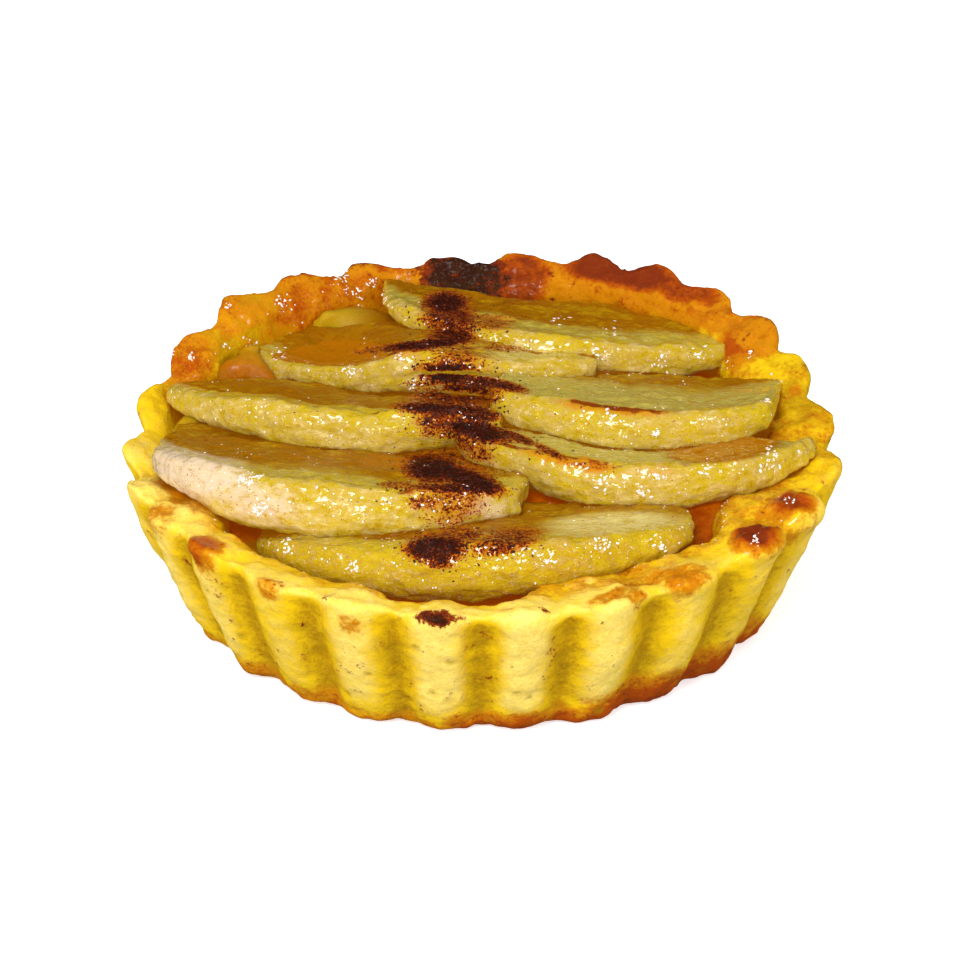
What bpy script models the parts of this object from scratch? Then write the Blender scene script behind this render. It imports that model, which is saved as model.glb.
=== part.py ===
"""Apple tart: a fluted tartlet crust with a jam bed and seven overlapping apple slices.

The tart stands on z = 0 with its axis on the Z axis, and its front faces -Y.
Sizes are in millimetres, and each finished mesh is scaled to metres.
"""

import math
import random
from dataclasses import dataclass

import bmesh
import bpy
from mathutils import Matrix, Vector

MM = 0.001

# Crust, outside
RIM_RADIUS = 50.8
BASE_RADIUS = 42.4
RIM_HEIGHT = 23.9
WALL_BULGE = 0.7
BASE_EDGE = 0.45
# The rim's tips stand higher or lower than RIM_HEIGHT here: angle and spread in degrees, rise
RIM_SWELLS = (
    (180.0, 22.0, -4.3), (135.0, 22.0, 2.7), (88.0, 25.0, 0.4), (54.0, 25.0, 3.1), (-2.0, 22.0, -2.4),
)
FLUTES = 26
STEPS_A_FLUTE = 6
GROOVE_AT = -math.pi / 2
# The flutes are pushed round towards the back on the right: angle and spread in degrees, shift
FLUTE_DRIFT = (14.0, 34.0, 7.5)
CREST_BREADTH = 1.35
GROOVE_DEPTH_BASE = 1.4
GROOVE_DEPTH_MIDDLE = 2.3
GROOVE_DEPTH_RIM = 2.5
CREST_RISE = 1.5
UNEVEN_RISE = 0.3
UNEVEN_SEED = 5

# Crust, inside
LIP_RADIUS = 45.0
LIP_DROP = 5.5
RIM_CROWN = 1.7
# The outer edge is rounded by this share of the crown, and the top lies this far across it
EDGE_SHARE = 0.2
TOP_SHARE = 0.75
# Points on the slope from the crown to the lip: share of the way across, share of the way down
SLOPE_POINTS = ((0.22, 0.12), (0.6, 0.5))
FLOOR_THICKNESS = 4.5
WALL_FOOT_INSET = 5.0
FLOOR_CORNER = 1.5
INNER_SCALLOP = 0.5
# The rim is broader and flatter here: angle and spread in degrees, added width, lip raised by
BROAD_PLACES = ((-35.0, 25.0, 4.5, 3.0), (-95.0, 28.0, 3.0, 2.5), (-155.0, 22.0, 2.0, 3.0), (8.0, 18.0, 2.5, 2.0))

# Filling
FILLING_LEVEL = 17.4
FILLING_GAP = 0.35
FILLING_SAG = 2.0
FILLING_STEPS = 78
FILLING_RINGS = (0.96, 0.85, 0.6, 0.3, 0.02)
FILLING_SWELL = 0.5
SWELL_LOBES = 3
SWELL_TWIST = 5
LIP_OVER_FILLING = 0.5

# Apple slices
CLEARANCE = 0.3
THIN_EDGE = 0.42
LEAST_THIN_EDGE = 0.8
PEEL_BULGE = 0.2
PEEL_BULGE_FADE = 4
THICKNESS_TAPER = 0.6
SLICE_CUTS = (17, 3, 2)
# Above 1, the cuts across a slice crowd towards its peeled edge
CUT_CROWDING = 1.2
WAVE_LENGTH = 0.9

FULL_TURN = 2 * math.pi
WALL_STATIONS = (0.0, 0.04, 0.18, 0.34, 0.5, 0.66, 0.82, 0.94)


@dataclass
class AppleSlice:
    """A wedge cut from an apple, with its peeled edge to the front and its thin core edge behind."""

    name: str
    middle: tuple  # the top of the peeled edge, halfway along the slice
    turns: tuple  # degrees: about Z, right end up, peeled edge up
    half_length: float
    ends: tuple  # the parts of the half length that are kept, left and right
    bow: float  # how far back the peeled edge would run by a whole half length
    width: float
    narrowing: tuple  # how fast the slice narrows to its left and right end
    thickness: float
    lift: float  # how much higher the ends lie than the middle
    wave: float


# From the lowest slice to the highest: each rests on those before it
SLICES = (
    AppleSlice(
        "apple_slice_front", (-1.3, -35.7, 25.5), (-1.1, 3.6, 17), 31.0, (0.95, 0.93),
        16.8, 21.5, (1.2, 1.0), 7.3, -1.4, 0.1,
    ),
    AppleSlice(
        "apple_slice_left_front", (-19.1, -24.7, 28.0), (-6.5, -1.5, 18), 29.1, (0.93, 0.81),
        19.4, 27.5, (0.5, 0.7), 7.3, 0.0, 0.0,
    ),
    AppleSlice(
        "apple_slice_right_front", (19.9, -15.3, 25.5), (-4.5, -1.1, 16), 27.6, (0.88, 0.92),
        20.1, 20.5, (1.0, 3.0), 6.3, 2.7, -0.2,
    ),
    AppleSlice(
        "apple_slice_left_middle", (-19.2, -2.4, 27.0), (-7.9, 0.2, 21), 29.1, (0.95, 0.74),
        20.1, 22.5, (1.0, 1.0), 5.9, -0.3, -0.4,
    ),
    AppleSlice(
        "apple_slice_right_middle", (17.1, -3.0, 27.5), (-11.5, -1.1, 17), 27.8, (0.60, 0.79),
        20.4, 25.0, (0.8, 0.4), 6.5, 2.6, 0.4,
    ),
    AppleSlice(
        "apple_slice_left_back", (-10.2, 14.2, 26.6), (-11.1, 4.6, 13), 31.0, (0.90, 0.81),
        19.9, 18.0, (0.8, 1.5), 6.0, -4.0, 0.5,
    ),
    AppleSlice(
        "apple_slice_right_back", (13.5, 19.8, 25.9), (-3.6, -4.4, 12), 29.8, (0.97, 0.93),
        18.2, 19.0, (0.5, 1.6), 5.0, -0.6, 0.2,
    ),
)

CRUST_COLOUR = (0.80, 0.56, 0.09, 1.0)
CRUST_ROUGHNESS = 0.55
FILLING_COLOUR = (0.52, 0.17, 0.02, 1.0)
FILLING_ROUGHNESS = 0.15
APPLE_COLOUR = (0.78, 0.66, 0.22, 1.0)
APPLE_ROUGHNESS = 0.25

# Working limits
SMOOTH_BELOW = 50
LEAST_EDGE = 0.02
WELD = 0.001


def clear_scene():
    for obj in list(bpy.data.objects):
        bpy.data.objects.remove(obj, do_unlink=True)


def material(name, colour, roughness):
    made = bpy.data.materials.new(name)
    made.use_nodes = True
    shader = made.node_tree.nodes["Principled BSDF"]
    shader.inputs["Base Color"].default_value = colour
    shader.inputs["Roughness"].default_value = roughness
    shader.inputs["Metallic"].default_value = 0.0
    return made


def collection(name):
    made = bpy.data.collections.new(name)
    bpy.context.scene.collection.children.link(made)
    return made


def blend(low, high, share):
    return low + (high - low) * share


def finished(bm, name, home, look):
    """Scales a bmesh in millimetres to metres and makes it an object."""
    bmesh.ops.scale(bm, vec=(MM, MM, MM), verts=bm.verts)
    mesh = bpy.data.meshes.new(name)
    bm.to_mesh(mesh)
    bm.free()
    mesh.shade_smooth()
    mesh.set_sharp_from_angle(angle=math.radians(SMOOTH_BELOW))
    obj = bpy.data.objects.new(name, mesh)
    obj.data.materials.append(look)
    home.objects.link(obj)
    return obj


def as_cutter(obj):
    obj.hide_render = True
    obj.display_type = "WIRE"
    return obj


def turned(section, stations, steps):
    """Spins a line of stations round the Z axis and moves each ring to section(angle)."""
    bm = bmesh.new()
    line = [bm.verts.new((0.0, 0.0, -1.0))]
    line += [bm.verts.new((1.0, 0.0, station)) for station in range(stations)]
    line.append(bm.verts.new((0.0, 0.0, stations)))
    for low, high in zip(line, line[1:]):
        bm.edges.new((low, high))
    bmesh.ops.spin(
        bm,
        geom=bm.verts[:] + bm.edges[:],
        axis=(0, 0, 1),
        cent=(0, 0, 0),
        angle=FULL_TURN,
        steps=steps,
        use_merge=True,
    )
    bmesh.ops.remove_doubles(bm, verts=bm.verts, dist=WELD)
    for vert in bm.verts:
        angle = math.atan2(vert.co.y, vert.co.x)
        rings = section(angle)
        station = round(vert.co.z)
        if station < 0:
            vert.co = (0.0, 0.0, rings[0][1])
        elif station >= stations:
            vert.co = (0.0, 0.0, rings[-1][1])
        else:
            radius, height = rings[station]
            vert.co = (radius * math.cos(angle), radius * math.sin(angle), height)
    bmesh.ops.recalc_face_normals(bm, faces=bm.faces)
    return bm


def nearness(angle, direction, spread):
    """1 in a direction, given in degrees, and falling to 0 either side of it."""
    away = (math.degrees(angle) - direction + 180) % 360 - 180
    return math.exp(-((away / spread) ** 2))


def flute_phase(angle):
    """Counts flutes round the crust from the groove at the front."""
    direction, spread, shift = FLUTE_DRIFT
    steady = angle - math.radians(shift) * nearness(angle, direction, spread)
    return (steady - GROOVE_AT) / FULL_TURN * FLUTES % FLUTES


def crest_share(angle):
    """1 on the crest of a flute and 0 in the groove between two."""
    from_crest = abs(flute_phase(angle) % 1.0 - 0.5) * 2
    return 0.5 + 0.5 * math.cos(math.pi * from_crest**CREST_BREADTH)


def flute_rises():
    """How much each flute's tip stands above or below the even rim."""
    draw = random.Random(UNEVEN_SEED)
    return [draw.uniform(-UNEVEN_RISE, UNEVEN_RISE) for _ in range(FLUTES)]


FLUTE_RISES = flute_rises()


def tip_height(angle):
    """The height that a flute's tip would have in this direction."""
    swells = sum(rise * nearness(angle, direction, spread) for direction, spread, rise in RIM_SWELLS)
    return RIM_HEIGHT + swells


def rim_height(angle):
    crest = crest_share(angle)
    uneven = FLUTE_RISES[int(flute_phase(angle))] * crest
    return tip_height(angle) - CREST_RISE * (1 - crest) + uneven


def groove_depth(share):
    """Depth of the grooves at a share of the wall's height."""
    if share < 0.5:
        return blend(GROOVE_DEPTH_BASE, GROOVE_DEPTH_MIDDLE, share / 0.5)
    return blend(GROOVE_DEPTH_MIDDLE, GROOVE_DEPTH_RIM, (share - 0.5) / 0.5)


def outer_radius(angle, share):
    slant = blend(BASE_RADIUS, RIM_RADIUS, share) + WALL_BULGE * 4 * share * (1 - share)
    return slant - groove_depth(share) * (1 - crest_share(angle))


def lip(angle):
    """Radius and height where the rim's inward slope ends and the inner wall goes down."""
    radius = LIP_RADIUS
    height = tip_height(angle) - LIP_DROP
    for direction, spread, width, rise in BROAD_PLACES:
        near = nearness(angle, direction, spread)
        radius -= width * near
        height += rise * near
    return radius, max(height, FILLING_LEVEL + LIP_OVER_FILLING)


def inner_wall(angle, height):
    """Radius of the straight inner wall at a height."""
    lip_radius, lip_height = lip(angle)
    return lip_radius - WALL_FOOT_INSET * (lip_height - height) / (lip_height - FLOOR_THICKNESS)


def crust_section(angle):
    """The crust's outline at one angle, from the base over the rim to the floor inside."""
    top = rim_height(angle)
    rings = [(outer_radius(angle, share), share * top) for share in WALL_STATIONS]
    rings[0] = (rings[0][0] - BASE_EDGE, 0.0)
    rim = outer_radius(angle, 1.0)
    crown = RIM_RADIUS - RIM_CROWN - INNER_SCALLOP * GROOVE_DEPTH_RIM * (1 - crest_share(angle))
    rings.append((rim - EDGE_SHARE * RIM_CROWN, top - EDGE_SHARE * RIM_CROWN))
    rings.append((blend(rim, crown, TOP_SHARE), top))
    lip_radius, lip_height = lip(angle)
    for across, down in SLOPE_POINTS:
        rings.append((blend(crown, lip_radius, across), blend(top, lip_height, down)))
    rings.append((lip_radius, lip_height))
    foot_height = FLOOR_THICKNESS + FLOOR_CORNER
    rings.append((inner_wall(angle, foot_height), foot_height))
    rings.append((inner_wall(angle, FLOOR_THICKNESS) - FLOOR_CORNER, FLOOR_THICKNESS))
    return rings


def grown_crust_section(angle):
    """The crust's outline moved out by the clearance, square to the line through its neighbours."""
    rings = crust_section(angle)
    line = [(0.0, rings[0][1])] + rings + [(0.0, rings[-1][1])]
    grown = []
    for before, (radius, height), after in zip(line, rings, line[2:]):
        across = after[0] - before[0]
        up = after[1] - before[1]
        move = CLEARANCE / math.hypot(across, up)
        grown.append((radius + move * up, height - move * across))
    return grown


CRUST_STATIONS = len(crust_section(0.0))


def filling_section(angle):
    """The jam bed, from its underside out along the inner wall and back over its top."""
    foot_height = FLOOR_THICKNESS + FLOOR_CORNER
    edge = inner_wall(angle, FILLING_LEVEL) - FILLING_GAP
    rings = [
        (inner_wall(angle, FLOOR_THICKNESS) - FLOOR_CORNER - FILLING_GAP, FLOOR_THICKNESS + FILLING_GAP),
        (inner_wall(angle, foot_height) - FILLING_GAP, foot_height + FILLING_GAP),
        (edge, FILLING_LEVEL),
    ]
    for share in FILLING_RINGS:
        sag = FILLING_SAG * (1 - share**2)
        swell = FILLING_SWELL * math.sin(SWELL_LOBES * angle + SWELL_TWIST * share)
        rings.append((edge * share, FILLING_LEVEL - sag + swell * 4 * share * (1 - share)))
    return rings


FILLING_STATIONS = len(filling_section(0.0))


def slice_frame(piece):
    """Turns and moves a slice from flat at the origin to its place on the tart."""
    about_z, right_end_up, peel_up = (math.radians(turn) for turn in piece.turns)
    turn = Matrix.Rotation(about_z, 4, "Z")
    roll = Matrix.Rotation(-right_end_up, 4, "Y")
    tilt = Matrix.Rotation(-peel_up, 4, "X")
    return Matrix.Translation(piece.middle) @ turn @ roll @ tilt


def slice_point(piece, along, back, down):
    """A point of a slice from shares: along its length, back from the peel, down from the top."""
    room = math.sqrt(1 - along * along)
    peel_line = piece.bow * (1 - room)
    core_line = peel_line + piece.width * room ** piece.narrowing[along > 0]
    thick = piece.thickness * room ** (2 * THICKNESS_TAPER)
    thin = max(THIN_EDGE * thick, min(thick, LEAST_THIN_EDGE))
    depth = blend(thick, thin, back)
    bulge = PEEL_BULGE * thick * 4 * down * (1 - down) * (1 - back) ** PEEL_BULGE_FADE
    rise = piece.lift * along**2 + piece.wave * math.cos(FULL_TURN * along / WAVE_LENGTH)
    return Vector((along * piece.half_length, blend(peel_line, core_line, back) - bulge, rise - depth * down))


def slice_bmesh(piece, grow=0.0):
    """A block cut into a grid and bent into the slice. grow pushes its faces outwards."""
    bm = bmesh.new()
    bmesh.ops.create_cube(bm, size=2.0)
    for axis, cuts in enumerate(SLICE_CUTS):
        runs = [edge for edge in bm.edges if abs((edge.verts[0].co - edge.verts[1].co)[axis]) > 1]
        bmesh.ops.subdivide_edges(bm, edges=runs, cuts=cuts, use_grid_fill=True)
    for vert in bm.verts:
        along = math.sin(vert.co.x * math.asin(piece.ends[vert.co.x > 0]))
        back = ((vert.co.y + 1) / 2) ** CUT_CROWDING
        down = (1 - vert.co.z) / 2
        vert.co = slice_point(piece, along, back, down)
    bmesh.ops.recalc_face_normals(bm, faces=bm.faces)
    bm.normal_update()
    if grow:
        moves = [(vert, vert.normal * grow * vert.calc_shell_factor()) for vert in bm.verts]
        for vert, move in moves:
            vert.co += move
    bmesh.ops.transform(bm, matrix=slice_frame(piece), verts=bm.verts)
    return bm


def cut_away(obj, cutters):
    """Cuts other bodies out of an object and keeps its largest piece."""
    for cutter in cutters:
        cut = obj.modifiers.new("clear_of_" + cutter.name, "BOOLEAN")
        cut.operation = "DIFFERENCE"
        cut.solver = "EXACT"
        cut.object = cutter
    graph = bpy.context.evaluated_depsgraph_get()
    cut_mesh = bpy.data.meshes.new_from_object(obj.evaluated_get(graph))
    obj.modifiers.clear()
    obj.data = cut_mesh
    keep_largest_piece(cut_mesh)


def centre_on(middle_piece, meshes):
    """Moves the meshes sideways, so that the origin is in the middle of one piece's box."""
    for axis in (0, 1):
        places = [vert.co[axis] for vert in middle_piece.vertices]
        move = Vector((0.0, 0.0, 0.0))
        move[axis] = -(min(places) + max(places)) / 2
        for mesh in meshes:
            mesh.transform(Matrix.Translation(move))


def keep_largest_piece(mesh):
    bm = bmesh.new()
    bm.from_mesh(mesh)
    bmesh.ops.dissolve_degenerate(bm, dist=LEAST_EDGE * MM, edges=bm.edges)
    unseen = set(bm.verts)
    pieces = []
    while unseen:
        front = [unseen.pop()]
        piece = list(front)
        while front:
            vert = front.pop()
            for edge in vert.link_edges:
                other = edge.other_vert(vert)
                if other in unseen:
                    unseen.remove(other)
                    front.append(other)
                    piece.append(other)
        pieces.append(piece)
    pieces.sort(key=len)
    for scrap in pieces[:-1]:
        bmesh.ops.delete(bm, geom=scrap, context="VERTS")
    bmesh.ops.triangulate(bm, faces=bm.faces)
    bm.to_mesh(mesh)
    bm.free()


def main():
    clear_scene()
    tart = collection("apple_tart")
    helpers = collection("cutters")
    crust_look = material("baked_crust", CRUST_COLOUR, CRUST_ROUGHNESS)
    filling_look = material("jam", FILLING_COLOUR, FILLING_ROUGHNESS)
    apple_look = material("apple_flesh", APPLE_COLOUR, APPLE_ROUGHNESS)

    steps = FLUTES * STEPS_A_FLUTE
    crust = finished(turned(crust_section, CRUST_STATIONS, steps), "crust", tart, crust_look)
    grown = turned(grown_crust_section, CRUST_STATIONS, steps)
    crust_room = as_cutter(finished(grown, "crust_room", helpers, crust_look))

    filling = finished(turned(filling_section, FILLING_STATIONS, FILLING_STEPS), "filling", tart, filling_look)
    slices = []
    rooms = []
    for piece in SLICES:
        slices.append(finished(slice_bmesh(piece), piece.name, tart, apple_look))
        room = finished(slice_bmesh(piece, CLEARANCE), piece.name + "_room", helpers, apple_look)
        rooms.append(as_cutter(room))
    for level, obj in enumerate(slices):
        cut_away(obj, [crust_room] + rooms[level + 1:])
    cut_away(filling, rooms)
    centre_on(crust.data, [obj.data for obj in tart.objects])


main()
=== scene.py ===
"""Apple tart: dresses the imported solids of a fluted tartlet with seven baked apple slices.

The tart stands on z = 0 with its axis on Z and its front towards -Y. Places and sizes here are
in millimetres, except where a property has a length of its own. Meshes are in metres.
"""

import contextlib
import math
import random
from dataclasses import dataclass

import bmesh
import bpy
from mathutils import Matrix, Vector, noise
from mathutils.bvhtree import BVHTree
from mathutils.kdtree import KDTree


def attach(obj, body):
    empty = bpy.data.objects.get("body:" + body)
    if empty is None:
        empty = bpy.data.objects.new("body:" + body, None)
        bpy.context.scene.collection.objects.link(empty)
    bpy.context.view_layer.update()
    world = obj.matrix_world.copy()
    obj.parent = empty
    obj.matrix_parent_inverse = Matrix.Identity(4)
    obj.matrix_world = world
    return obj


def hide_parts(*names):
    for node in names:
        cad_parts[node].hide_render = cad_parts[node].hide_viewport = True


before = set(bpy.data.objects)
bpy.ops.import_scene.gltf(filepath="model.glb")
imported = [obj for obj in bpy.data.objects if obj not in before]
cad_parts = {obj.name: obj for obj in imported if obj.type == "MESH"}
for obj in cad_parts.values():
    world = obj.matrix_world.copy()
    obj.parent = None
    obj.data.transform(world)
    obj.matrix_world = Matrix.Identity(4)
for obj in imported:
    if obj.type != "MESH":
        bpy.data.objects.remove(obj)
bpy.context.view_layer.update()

bl_info = {
    "name": "Apple tart",
    "version": (1, 0, 0),
    "blender": (4, 5, 0),
    "location": "View3D > Sidebar > Tart",
    "description": "Dresses the solids of an apple tartlet",
    "category": "Object",
}

MM = 0.001
BODY = "root"
FULL_TURN = 2 * math.pi
WELD = 1e-6

# Crust
FLUTES = 26
GROOVE_AT = -math.pi / 2
FLUTE_DRIFT = (14.0, 34.0, 7.5)
RIM_HEIGHT = 23.9
RIM_SWELLS = (
    (180.0, 22.0, -4.3), (135.0, 22.0, 2.7), (88.0, 25.0, 0.4), (54.0, 25.0, 3.1), (-2.0, 22.0, -2.4),
)
# Angle round the rim in degrees, spread in degrees, how toasted the foot of the wall is there
FOOT_TOAST = (
    (-50.0, 30.0, 1.15), (-126.0, 22.0, 0.3), (-84.0, 14.0, 0.6), (60.0, 60.0, 0.6), (170.0, 35.0, 0.5),
)
# The same for the tips of the rim
RIM_TOAST = (
    (64.0, 24.0, 1.9), (90.0, 12.0, 1.7), (116.0, 15.0, 1.5), (141.0, 11.0, 0.5), (155.0, 8.0, 0.75),
    (32.0, 6.0, 1.0), (17.0, 5.0, 0.15), (2.0, 26.0, 0.3),
)
# The same for the painted light on the flutes, the painted highlight on the crest, and olive pastry on
# the rim
PAINTED_LIGHT_FLUTES = ((-88.0, 34.0, 1.0), (-28.0, 18.0, 0.45), (-150.0, 22.0, 0.7), (90.0, 80.0, 0.6))
PAINTED_CREST_HIGHLIGHT = ((-95.0, 45.0, 0.6), (-160.0, 25.0, 0.6))
OLIVE_RIM = ((134.0, 22.0, 0.95), (12.0, 13.0, 0.65), (160.0, 12.0, 0.4))
# Angle, radius and height of a patch, its half sizes along the rim, across it and upwards,
# and its strength
CARAMEL_PATCHES = (
    ((-40.0, 47.6, 23.6), (4.3, 3.6, 2.6), 1.0),
    ((-27.0, 47.4, 22.8), (3.9, 3.6, 2.8), 0.85),
    ((-56.5, 48.4, 23.6), (3.8, 3.0, 2.6), 0.52),
    ((-68.0, 48.0, 23.4), (5.0, 2.4, 1.8), 0.42),
    ((-61.0, 45.5, 22.8), (5.0, 2.0, 1.8), 0.36),
    ((-88.0, 47.8, 23.4), (7.0, 1.0, 1.2), 0.26),
    ((-139.0, 48.6, 22.8), (3.8, 3.2, 3.4), 0.66),
    ((-153.0, 48.4, 21.4), (4.4, 3.0, 2.8), 0.42),
    ((-157.0, 45.6, 20.6), (3.4, 2.2, 2.2), 0.42),
    ((-124.0, 49.6, 22.4), (2.2, 1.6, 2.0), 0.36),
    ((-110.0, 49.6, 20.6), (2.0, 1.6, 2.4), 0.42),
    ((15.5, 47.0, 21.6), (1.6, 1.2, 1.2), 0.5),
    ((120.0, 45.5, 22.0), (15.0, 4.5, 7.0), 0.62),
    ((31.0, 47.5, 24.5), (4.5, 4.0, 3.0), 0.42),
    ((82.5, 46.5, 22.0), (6.0, 5.5, 7.0), 0.85),
    ((64.0, 47.5, 25.8), (13.0, 4.2, 3.6), 0.95),
    ((50.0, 47.5, 26.0), (8.0, 3.8, 3.4), 0.8),
    ((60.0, 45.5, 22.5), (20.0, 4.0, 5.0), 0.46),
    ((-33.0, 46.0, 21.5), (9.0, 4.5, 4.0), 0.36),
)
CHAR_PATCHES = (
    ((93.0, 46.6, 21.6), (7.4, 4.6, 5.6), 1.15),
    ((-96.5, 49.4, 23.2), (3.6, 1.5, 1.5), 0.62),
    ((-80.5, 48.6, 23.0), (1.2, 1.0, 1.0), 0.55),
    ((-82.6, 43.2, 0.6), (1.4, 1.0, 0.7), 1.0),
)
BLOB_PATCHES = (
    ((-40.0, 47.6, 23.6), (4.6, 3.8, 2.8), 1.0),
    ((-27.0, 47.4, 22.8), (4.1, 3.8, 3.0), 0.8),
    ((-139.0, 48.4, 23.2), (3.2, 2.6, 2.4), 0.35),
    ((-56.5, 47.6, 23.6), (4.4, 3.2, 2.4), 0.45),
    ((-66.0, 46.6, 23.4), (3.6, 2.2, 2.0), 0.4),
    ((-75.0, 46.4, 23.4), (3.2, 2.0, 2.0), 0.3),
    ((-148.0, 45.0, 22.0), (3.4, 2.2, 2.0), 0.4),
    ((31.4, 47.8, 23.6), (3.6, 2.6, 2.4), 0.5),
)
GLAZED_RIM = (
    (120.0, 16.0, 1.0), (150.0, 30.0, 0.6), (8.0, 30.0, 0.7), (-33.0, 12.0, 1.0), (60.0, 22.0, 0.25),
    (-60.0, 12.0, 0.7), (-135.0, 14.0, 0.7),
)
# Places of pits in the wall: x, y, z, radius, depth
WALL_PITS = (
    (-10.9, -45.0, 12.4, 1.0, 0.45), (-5.3, -48.0, 13.4, 0.8, 0.4), (-5.7, -46.6, 9.8, 0.9, 0.5),
    (-4.0, -45.6, 7.1, 1.3, 0.4), (10.1, -45.8, 14.3, 0.7, 0.6), (10.2, -44.3, 10.2, 0.7, 0.6),
    (-23.6, -40.6, 12.3, 0.6, 0.5),
)
LOOSE_PITS = 90
LOOSE_PIT_HEIGHTS = (1.5, 21.0)
PIT_SEED = 11
WALL_FOOT_RADIUS = 42.4
WALL_FLARE = 8.4
# How far the inside of the rim leans in to meet the slices: everywhere, and more in one direction
LIP_REACH = 1.2
LIP_REACH_MORE = (
    (-62.0, 24.0, 6.5), (-100.0, 20.0, 2.5), (-126.0, 9.0, 2.5), (-157.0, 14.0, 7.0),
    (176.0, 12.0, 2.5), (-24.0, 13.0, 8.0), (4.0, 15.0, 7.0), (26.0, 12.0, 3.0),
)
# The rim's crown and lip, and how steeply the lip falls where it leans in
CROWN_RADIUS = 48.3
LIP_RADIUS = 45.0
CROWN_BELOW_TOP = 0.8
LEAN_FALL = 0.3
LEAN_FALL_MORE = ((-102.0, 20.0, 0.28),)
LEAN_STEPS = 180
# How far off a slice can be for the lip to lean to it, the gap that stays, and where the lip starts
LEAN_ROOM = 16.0
LEAN_GAP = 0.2
LIP_BOTTOM = 15.5
LIP_INNERMOST = 34.0


@dataclass
class Slice:
    """Where a packed apple slice lies, and how its flesh looks."""

    node: str
    middle: tuple  # the top of the peeled edge, halfway along the slice
    turns: tuple  # degrees: about Z, right end up, peeled edge up
    half_length: float
    bow: float  # how far back the peeled edge would run by a whole half length
    lift: float  # how much higher the ends lie than the middle
    wave: float
    paleness: float
    greenness: float
    soaked: float  # how much syrup the foot of the peeled side has taken up


SLICES = {
    "apple_front": Slice(
        "apple_slice_front", (-1.3, -35.7, 25.5), (-1.1, 3.6, 17), 31.0, 16.8,
        lift=-1.4, wave=0.1, paleness=0.0, greenness=0.2, soaked=0.5,
    ),
    "apple_left_front": Slice(
        "apple_slice_left_front", (-19.1, -24.7, 28.0), (-6.5, -1.5, 18), 29.1, 19.4,
        lift=0.0, wave=0.0, paleness=0.22, greenness=0.3, soaked=0.0,
    ),
    "apple_right_front": Slice(
        "apple_slice_right_front", (19.9, -15.3, 25.5), (-4.5, -1.1, 16), 27.6, 20.1,
        lift=2.7, wave=-0.2, paleness=0.2, greenness=0.8, soaked=0.1,
    ),
    "apple_left_middle": Slice(
        "apple_slice_left_middle", (-19.2, -2.4, 27.0), (-7.9, 0.2, 21), 29.1, 20.1,
        lift=-0.3, wave=-0.4, paleness=0.22, greenness=0.15, soaked=0.5,
    ),
    "apple_right_middle": Slice(
        "apple_slice_right_middle", (17.1, -3.0, 27.5), (-11.5, -1.1, 17), 27.8, 20.4,
        lift=2.6, wave=0.4, paleness=0.18, greenness=1.4, soaked=0.4,
    ),
    "apple_left_back": Slice(
        "apple_slice_left_back", (-10.2, 14.2, 26.6), (-11.1, 4.6, 13), 31.0, 19.9,
        lift=-4.0, wave=0.5, paleness=0.2, greenness=0.35, soaked=0.6,
    ),
    "apple_right_back": Slice(
        "apple_slice_right_back", (13.5, 19.8, 25.9), (-3.6, -4.4, 12), 29.8, 18.2,
        lift=-0.6, wave=0.2, paleness=0.15, greenness=0.45, soaked=0.4,
    ),
}
WAVE_LENGTH = 0.9
# How far up the jam looks for a slice, how far below it the jam stays, and where its top starts
JAM_ROOM = 20.0
JAM_GAP = 0.1
JAM_TOP = 14.0
# Jam stands up between the slices: x, y, half sizes, turn in degrees, rise
JAM_SWELLS = (
    (8.6, -8.0, 6.0, 6.0, 0.0, 6.6), (31.0, -12.5, 7.0, 7.0, 0.0, 2.6),
    (36.0, -2.0, 7.0, 7.0, 0.0, 2.5), (20.0, 11.0, 6.0, 6.0, 0.0, 4.5),
    (-36.0, 26.0, 10.0, 9.0, 0.0, 4.6), (-28.0, -27.0, 7.0, 7.0, 0.0, 1.0),
    (-24.0, 37.0, 13.0, 8.0, 20.0, 5.0), (-42.0, 12.0, 6.0, 8.0, 0.0, 4.4),
)
# The jam is thin and golden here
THIN_JAM = (
    (-28.0, 34.0, 18.0, 12.0, 30.0, 1.0), (-42.0, 10.0, 9.0, 14.0, 0.0, 1.0),
    (-28.0, -27.0, 8.0, 8.0, 0.0, 0.5),
)
CAD_SHIFT = Vector((0.185, 0.0, 0.0))
# Patches on the slices are measured in the plane across the tart's middle that faces the viewer:
# across, up, half sizes, turn in degrees, strength
BROWNED_PLACES = (
    (19.0, 23.1, 11.0, 2.4, -5.0, 1.0), (11.5, 15.9, 12.0, 2.6, -18.0, 1.0),
    (-11.5, 31.0, 10.0, 1.8, 5.0, 0.7), (-5.8, 10.1, 7.0, 1.6, 0.0, 0.7),
    (-8.6, 22.0, 8.0, 1.6, 0.0, 0.7), (26.0, 13.5, 6.0, 2.0, 0.0, 0.5),
)
PALE_PLACES = (
    (-41.7, 13.7, 9.0, 6.0, 0.0, 0.9), (-33.0, 9.4, 8.0, 3.5, -15.0, 0.6),
    (1.4, 8.0, 4.0, 2.4, 0.0, 0.5),
)
CREAM_PLACES = (
    (18.7, 6.2, 12.0, 1.9, 3.0, 1.0), (12.9, 24.5, 9.0, 1.6, -4.0, 0.5),
    (7.2, 30.7, 9.0, 1.8, 0.0, 0.6), (17.3, 17.3, 10.0, 1.6, -8.0, 0.5),
    (-26.0, 14.0, 10.0, 1.2, -4.0, 0.4),
)
# Darker pools on the cut faces beside the slices that overhang them: syrup and painted shade
SYRUP_AND_SHADE_POOLS = (
    (35.0, 17.2, 9.5, 2.6, 6.0, 1.4), (-20.0, 33.0, 10.0, 3.0, 0.0, 0.5),
    (-13.7, 14.9, 6.0, 1.6, 0.0, 0.8), (-25.9, 24.8, 10.0, 1.6, -5.0, 0.5),
    (-10.0, 35.0, 6.0, 1.5, 0.0, 0.6),
)
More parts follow.
